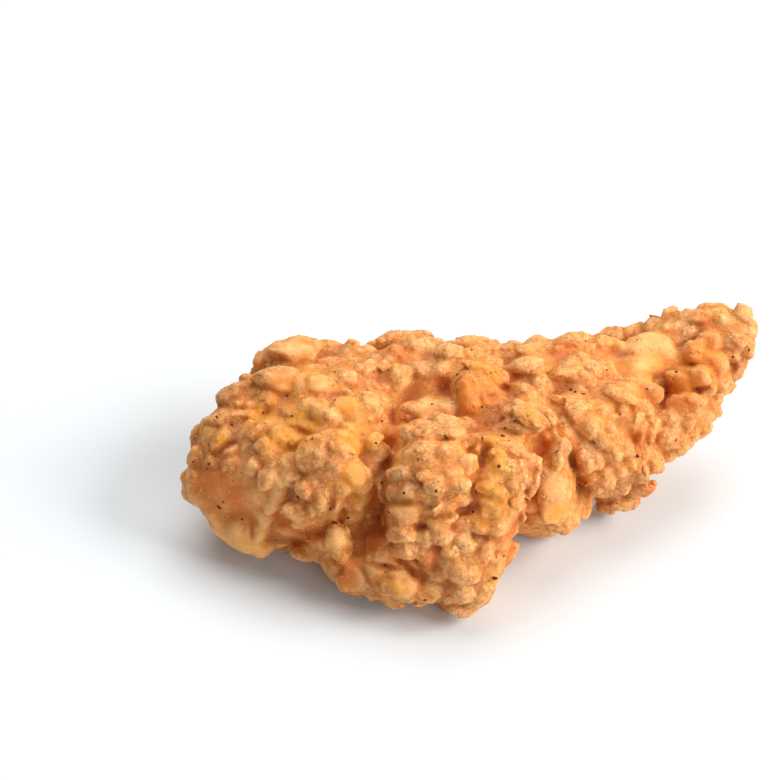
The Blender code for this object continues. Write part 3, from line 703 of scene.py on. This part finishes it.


# Fried flour crust: gold and peach in soft patches, with painted shade, browner and redder, down between the
# clumps and in the creases of its beads, and painted light, paler, on their crowns and on the tips of its
# grains; its browned and pale patches are partly painted shade and light, its pale flour specks partly
# painted glints; a little see-through, with a thin shine of oil.
def fried_flour_crust():
    material = bpy.data.materials.new("fried_flour_crust")
    material.use_nodes = True
    material.node_tree.nodes.clear()
    place = node(material, "ShaderNodeMapping", {
        "Vector": node(material, "ShaderNodeTexCoord").outputs["Object"],
        "Scale": (1 / MM, 1 / MM, 1 / MM),
    }).outputs["Vector"]

    def between(value, low, high, least=0.0, most=1.0):
        """A value's way from low to high, as a number from least to most."""
        return node(material, "ShaderNodeMapRange", {
            "Value": value, "From Min": low, "From Max": high, "To Min": least, "To Max": most}).outputs["Result"]

    def pattern(width, detail=2.0, seed=0.0):
        """Soft noise with patches of that width in millimetres."""
        moved = node(material, "ShaderNodeMapping", {"Vector": place, "Location": (seed, seed, seed)})
        return node(material, "ShaderNodeTexNoise", {
            "Vector": moved.outputs["Vector"], "Scale": 1 / width, "Detail": detail, "Roughness": 0.6}).outputs["Fac"]

    def kept(name):
        """A number kept on the mesh."""
        return node(material, "ShaderNodeAttribute", attribute_name=name).outputs["Fac"]

    def times(first, second):
        return node(material, "ShaderNodeMath", {0: first, 1: second}, operation="MULTIPLY").outputs["Value"]

    def plus(first, second):
        return node(material, "ShaderNodeMath", {0: first, 1: second}, operation="ADD").outputs["Value"]

    def vector(operation, first, second):
        return node(material, "ShaderNodeVectorMath", {0: first, 1: second}, operation=operation).outputs["Vector"]

    def over(below, colour, share):
        """A colour laid over what is below, by a share from 0 to 1."""
        return node(material, "ShaderNodeMix", {0: share, 6: below, 7: linear(colour)},
                    data_type="RGBA").outputs[2]

    def beads(width, seed):
        """Beads about that wide, packed: how high each point is on its bead, how near a crease, and a tint."""
        sway = node(material, "ShaderNodeTexNoise", {"Vector": place, "Scale": 0.8 / width, "Detail": 1.0})
        shifted = vector("MULTIPLY", sway.outputs["Color"], (width, width, width))
        away = vector("ADD", vector("ADD", place, shifted), (seed, seed, seed))
        cells = node(material, "ShaderNodeTexVoronoi", {"Vector": away, "Scale": 1 / width})
        edges = node(material, "ShaderNodeTexVoronoi", {"Vector": away, "Scale": 1 / width},
                     feature="DISTANCE_TO_EDGE")
        fall = node(material, "ShaderNodeMath", {0: cells.outputs["Distance"], 1: 2.0}, operation="POWER")
        return (between(fall.outputs["Value"], 0.0, 0.55, 1.0, 0.0), between(edges.outputs["Distance"], 0.2, 0.0),
                node(material, "ShaderNodeSeparateColor", {"Color": cells.outputs["Color"]}).outputs["Red"])

    ragged = times(plus(pattern(1.6, seed=17), -0.5), 1.6)
    # Pale specks of dry flour, partly painted glints.
    crumbs = times(between(pattern(0.34, detail=3.0, seed=11), 0.60, 0.68),
                   between(pattern(3.2, seed=23), 0.40, 0.60))
    pits = between(pattern(0.42, seed=71), 0.42, 0.34)
    rough = times(between(kept("bare"), 0.6, 0.15), between(pattern(7, seed=31), 0.38, 0.55, 0.35, 1.0))
    dome, crease, bead_tint = beads(1.9, 3.0)
    small_dome, small_crease, _ = beads(0.85, 41.0)
    colour = over(linear("#e09034"), "#d98330", between(pattern(11), 0.42, 0.60))
    # What is laid over it, where and by how much, from the bottom up.
    layers = (
        ("#ecaa56", between(kept("tint"), 0.62, 0.95), 0.6),
        ("#cf8038", between(kept("tint"), 0.30, 0.05), 0.35),
        ("#f0b26a", between(bead_tint, 0.55, 0.95), 0.4),
        ("#cc7a34", between(bead_tint, 0.35, 0.05), 0.25),
        # Pale patches, partly painted light.
        ("#f2b878", between(plus(kept("pale"), ragged), 0.30, 0.75), 0.7),
        # Browned patches, partly painted shade.
        ("#a85e28", between(plus(kept("browned"), times(ragged, 0.5)), 0.15, 0.95), 0.8),
        # Painted light, paler on the crowns of the clumps; painted shade, darker and redder down in the hollows
        # between them.
        ("#f2bc7c", between(kept("clump_height"), 0.1, 1.1), 0.3),
        ("#9c4012", between(kept("clump_height"), -0.2, -1.3), 0.85),
        # Painted shade down between the grains, and painted light, paler, on their tips.
        ("#b85c16", between(kept("grain_height"), -0.03, -0.15), 0.5),
        ("#f6c88a", between(kept("grain_height"), 0.03, 0.14), 0.35),
        # Painted shade, darker and redder, in the creases between the beads; painted highlight, paler, on their
        # domes.
        ("#b45410", times(crease, rough), 0.5),
        ("#f6c88a", times(dome, rough), 0.18),
        ("#b85a12", times(small_crease, rough), 0.4),
        ("#f6c88a", times(small_dome, rough), 0.18),
        ("#e6962a", between(plus(kept("golden"), times(ragged, 0.6)), 0.1, 0.9), 0.65),
        ("#d26a20", between(plus(kept("toasted"), times(ragged, 0.6)), 0.1, 0.9), 0.6),
        ("#b86018", pits, 0.35),
        # Pale flour specks, partly painted glints.
        ("#ffdfae", crumbs, 0.65),
        ("#fbd9a4", kept("dry"), 0.6),
    )
    for laid, where, share in layers:
        colour = over(colour, laid, times(where, share))

    grain = plus(times(crumbs, 0.05), plus(times(pits, -0.03), times(pattern(0.5, seed=5), 0.02)))
    relief = plus(times(plus(times(dome, 0.1), times(small_dome, 0.04)), rough), grain)
    bumpy = node(material, "ShaderNodeBump", {"Height": relief, "Distance": MM})
    shader = node(material, "ShaderNodeBsdfPrincipled", {
        "Base Color": colour,
        "Roughness": between(pattern(1.2, seed=83), 0.35, 0.65, 0.36, 0.68),
        "IOR": 1.45,
        "Specular IOR Level": 0.3,
        "Subsurface Weight": 0.7,
        "Subsurface Radius": (1.0, 0.55, 0.25),
        "Subsurface Scale": 1.0 * MM,
        "Normal": bumpy.outputs["Normal"],
    })
    node(material, "ShaderNodeOutputMaterial", {"Surface": shader.outputs["BSDF"]})
    return material


flour_crust = fried_flour_crust()
crust.data.materials.clear()
crust.data.materials.append(flour_crust)
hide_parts("tender")
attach(crust, "root")

# The nuggets, the small nodules and the granules.
# Beads of flour and batter that set in the oil on the larger ones and between them: low pebbles with
# flats, each in a tint of its own. Their numbers mean what those of the nodules do.
NUGGETS = (340, 0.6, 1.4, 12000, 0.34, 0.5)
SMALL_NODULES = (1700, 0.3, 0.56, 14000, 0.3, 0.5)
GRANULES = (6500, 0.15, 0.3, 40000, 0.35, 0.6)

# How far a pebble's own height in millimetres counts for its painted shade and painted light, beside that
# of the crust below.
CLUMP_SHARE = 0.5
GRAIN_SHARE = 0.2
GRAIN_FOOT = 0.35

nugget_kinds = pebbles(16, detail=3, unevenness=0.4, grain=1.6, flats=4)
small_kinds = pebbles(12, detail=0, unevenness=0.6, grain=1.4, flats=3)
granule_kinds = pebbles(12, detail=1, unevenness=0.6, grain=1.4, flats=1)


def add_pebbles(name, kinds, seats, outwards, dry=0.0):
    """A piece of the crust made of many pebbles, with painted shade and light from each one's height and from the
    crust below.
    """
    mesh = joined(name, kinds, seats)
    sizes = [len(kinds[kind][0]) for kind, _, _ in seats]
    middles = np.repeat([middle for _, _, middle in seats], sizes, axis=0)
    points = surface(mesh)[0]
    points[:, 2] = np.maximum(points[:, 2], 0.0)
    mesh.vertices.foreach_set("co", points.ravel())
    stand = ((points - middles) * np.repeat(outwards, sizes, axis=0)).sum(axis=1) / MM
    below = np.repeat([skin_clumps[skin_points.find(middle)[1]] for _, _, middle in seats], sizes)
    paint(mesh, clump_height=below + stand * CLUMP_SHARE, grain_height=(stand - GRAIN_FOOT) * GRAIN_SHARE,
          tint=np.repeat(draw.uniform(0, 1, len(seats)), sizes),
          dry=np.repeat(draw.uniform(0, 1, len(seats)) ** 2 * dry, sizes))
    paint_patches(mesh, points)
    mesh.materials.append(flour_crust)
    mesh.shade_smooth()
    piece = placed(name, mesh)
    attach(piece, "root")
    return piece


skin_points = tree_of(points)
nuggets = add_pebbles("nuggets", nugget_kinds, *nodule_seats(nugget_kinds, *NUGGETS))
small_nodules = add_pebbles("small_nodules", small_kinds, *nodule_seats(small_kinds, *SMALL_NODULES))
granules = add_pebbles("granules", granule_kinds, *nodule_seats(granule_kinds, *GRANULES))

# The crumbs.
# Dry flour crumbs, a quarter to half a millimetre wide, that stuck to the crests last and stayed
# pale. They lie on the crust and the nodules alike, and give its edge its fuzz. Their numbers: how
# many at most, the smallest and largest radius in millimetres, and how many places are tried.
CRUMBS = (6000, 0.08, 0.19, 40000)

# They crowd in patches this wide, with gaps between, and keep this far from the hollows. By the radius,
# a crumb is this long, high and far out.
CRUMB_PATCH = 2.2 * MM
CRUMB_GAPS = 0.4
CRUMB_CLEAR = 0.5 * MM
CRUMB_STRETCH = 1.2
CRUMB_HEIGHT = 0.9
CRUMB_RISE = 0.2

crumb_kinds = pebbles(10, detail=1, unevenness=0.5, grain=1.2, flats=0)
whole = bpy.data.meshes.new("whole")
bm = bmesh.new()
for piece in (crust, nuggets, small_nodules, granules):
    bm.from_mesh(piece.data)
bm.to_mesh(whole)
bm.free()
whole_skin = skin_of(whole)
seats, outwards = [], []
most, smallest, largest, tries = CRUMBS
for place, outward in zip(*scattered_places(whole, tries)):
    radius = (smallest + (largest - smallest) * draw.uniform(0, 1) ** 2) * MM
    start = Vector(place + outward * radius)
    hit, facing, _, _ = whole_skin.ray_cast(start, Vector(outward))
    buried = hit is not None and facing @ Vector(outward) > 0
    sparse = noise.noise(Vector(place) / CRUMB_PATCH) < draw.uniform(0.0, CRUMB_GAPS)
    hollow = hollow_tree.find(place)[2] < CRUMB_CLEAR
    if buried or sparse or hollow or place[2] < radius or len(seats) == most:
        continue
    shape = seat_shape(outward, draw.uniform(0, math.tau), radius * CRUMB_STRETCH, radius / CRUMB_STRETCH,
                       radius * CRUMB_HEIGHT)
    seats.append((draw.integers(len(crumb_kinds)), shape, place + outward * radius * CRUMB_RISE))
    outwards.append(outward)
add_pebbles("flour_crumbs", crumb_kinds, seats, outwards, dry=1.0)

# The pepper.
# Cracked black pepper from the flour: dark flakes half a millimetre wide, sunk halfway in the crust.
# The near side has them where the photograph shows them, the other sides by chance. They are at a
# pixel, with half their width in millimetres.
PEPPER = (
    (217, 417, 0.3), (232, 425, 0.25), (263, 413, 0.25), (262, 400, 0.2), (287, 396, 0.25), (335, 372, 0.25),
    (350, 389, 0.25), (335, 400, 0.25), (353, 356, 0.2), (374, 372, 0.2), (380, 370, 0.25), (388, 370, 0.2),
    (292, 416, 0.3), (382, 421, 0.3), (376, 443, 0.25), (312, 439, 0.25), (193, 462, 0.25), (209, 464, 0.3),
    (207, 469, 0.2), (219, 507, 0.45), (223, 502, 0.25), (242, 519, 0.25), (276, 540, 0.25), (298, 497, 0.3),
    (330, 509, 0.3), (335, 523, 0.5), (348, 518, 0.3), (382, 483, 0.3), (404, 493, 0.35), (436, 491, 0.4),
    (418, 459, 0.25), (446, 437, 0.4), (503, 436, 0.35), (482, 438, 0.35), (509, 441, 0.25), (499, 466, 0.4),
    (476, 491, 0.3), (473, 512, 0.35), (515, 421, 0.3), (505, 428, 0.25), (496, 372, 0.25), (491, 373, 0.2),
    (468, 369, 0.2), (482, 407, 0.25), (445, 414, 0.2), (432, 404, 0.25), (495, 578, 0.45), (425, 600, 0.25),
    (385, 565, 0.25), (395, 569, 0.2), (571, 390, 0.4), (575, 392, 0.35), (583, 394, 0.35), (676, 372, 0.4),
    (667, 393, 0.3), (691, 364, 0.25), (637, 340, 0.2), (594, 442, 0.35), (637, 456, 0.4), (662, 460, 0.25),
    (676, 440, 0.25), (733, 357, 0.3), (732, 365, 0.2), (749, 350, 0.25), (697, 389, 0.2), (647, 389, 0.25),
    (629, 381, 0.2), (607, 370, 0.25), (620, 414, 0.25),
)

# By chance: how many places are tried, and the smallest and largest half width. The dust is on every
# side, the flakes only where the normal leans less than this towards the camera.
UNSEEN_PEPPER = (150, 0.18, 0.45)
DUST = (420, 0.09, 0.15)
UNSEEN_BELOW = 0.1
FLAKE_HEIGHT = 0.6

flake_kinds = pebbles(8, detail=1, unevenness=0.6, grain=1.5, flats=3)
seats = []
for across, down, radius in PEPPER:
    place, outward, _, _ = whole_skin.find_nearest(seen_place(whole_skin, across, down))
    seats.append((place, outward, radius * MM))
for (count, smallest, largest), everywhere in ((UNSEEN_PEPPER, False), (DUST, True)):
    for place, outward in zip(*scattered_places(whole, count)):
        if everywhere or outward @ to_camera < UNSEEN_BELOW:
            seats.append((Vector(place), Vector(outward), draw.uniform(smallest, largest) * MM))
flakes = []
for place, outward, radius in seats:
    if place.z > radius:
        kind, spin = draw.integers(len(flake_kinds)), draw.uniform(0, math.tau)
        length, width = radius * draw.uniform(1.1, 1.8), radius / draw.uniform(1.0, 1.5)
        flakes.append((kind, seat_shape(outward, spin, length, width, radius * FLAKE_HEIGHT), np.array(place)))
pepper = placed("pepper", joined("pepper", flake_kinds, flakes))
paint(pepper.data, tint=np.repeat(draw.uniform(0, 1, len(flakes)), len(flake_kinds[0][0])))


# Cracked peppercorn: nearly black, brown or a little purple where the husk shows, dull.
def cracked_pepper():
    material = bpy.data.materials.new("cracked_pepper")
    material.use_nodes = True
    material.node_tree.nodes.clear()
    tint = node(material, "ShaderNodeAttribute", attribute_name="tint").outputs["Fac"]
    husk = node(material, "ShaderNodeMix", {0: tint, 6: linear("#6a3014"), 7: linear("#542418")}, data_type="RGBA")
    wrinkles = node(material, "ShaderNodeTexNoise", {
        "Vector": node(material, "ShaderNodeTexCoord").outputs["Object"], "Scale": 1 / (0.15 * MM)})
    bumpy = node(material, "ShaderNodeBump", {"Height": wrinkles.outputs["Fac"], "Distance": 0.05 * MM})
    shader = node(material, "ShaderNodeBsdfPrincipled", {
        "Base Color": husk.outputs[2],
        "Roughness": 0.95,
        "Specular IOR Level": 0.15,
        "Normal": bumpy.outputs["Normal"],
    })
    node(material, "ShaderNodeOutputMaterial", {"Surface": shader.outputs["BSDF"]})
    return material


pepper.data.materials.append(cracked_pepper())
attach(pepper, "root")
bpy.data.meshes.remove(whole)

# The table.
# A plain pale matt board, much wider than the tender, with its top where the tender rests.
TABLE_HALF_WIDTH = 3.0
TABLE_TOP = -0.0001

bm = bmesh.new()
bmesh.ops.create_grid(bm, x_segments=1, y_segments=1, size=TABLE_HALF_WIDTH)
bmesh.ops.translate(bm, verts=bm.verts, vec=(0, 0, TABLE_TOP))
table = placed("table", bpy.data.meshes.new("table"))
bm.to_mesh(table.data)
bm.free()
board = bpy.data.materials.new("matt_white_board")
board.use_nodes = True
board.node_tree.nodes["Principled BSDF"].inputs["Base Color"].default_value = linear("#dde2e5")
board.node_tree.nodes["Principled BSDF"].inputs["Roughness"].default_value = 0.85
table.data.materials.append(board)

# The light.
# A broad soft box above and behind, one high on the right, a weak one in front, and a pale room. Each
# box has its place and its side in metres, its power in watts and its colour.
ROOM_STRENGTH = 0.14
LIGHTS = (
    ("top_box", (0.06, 0.38, 0.64), 0.80, 6.1, "#ffffff"),
    ("right_box", (0.60, -0.32, 0.50), 0.55, 8.3, "#fffcf8"),
    ("front_box", (0.05, -0.75, 0.40), 0.50, 2.1, "#ffffff"),
)
for name, place, size, power, tint in LIGHTS:
    lamp = bpy.data.lights.new(name, "AREA")
    lamp.shape = "SQUARE"
    lamp.size = size
    lamp.energy = power
    lamp.color = linear(tint)[:3]
    box = placed(name, lamp)
    box.location = place
    box.rotation_mode = "QUATERNION"
    box.rotation_quaternion = (-Vector(place)).to_track_quat("-Z", "Y")
room = bpy.data.worlds.new("room")
room.use_nodes = True
room.node_tree.nodes["Background"].inputs["Color"].default_value = linear("#ffffff")
room.node_tree.nodes["Background"].inputs["Strength"].default_value = ROOM_STRENGTH
bpy.context.scene.world = room
bpy.context.scene.view_settings.view_transform = "Standard"
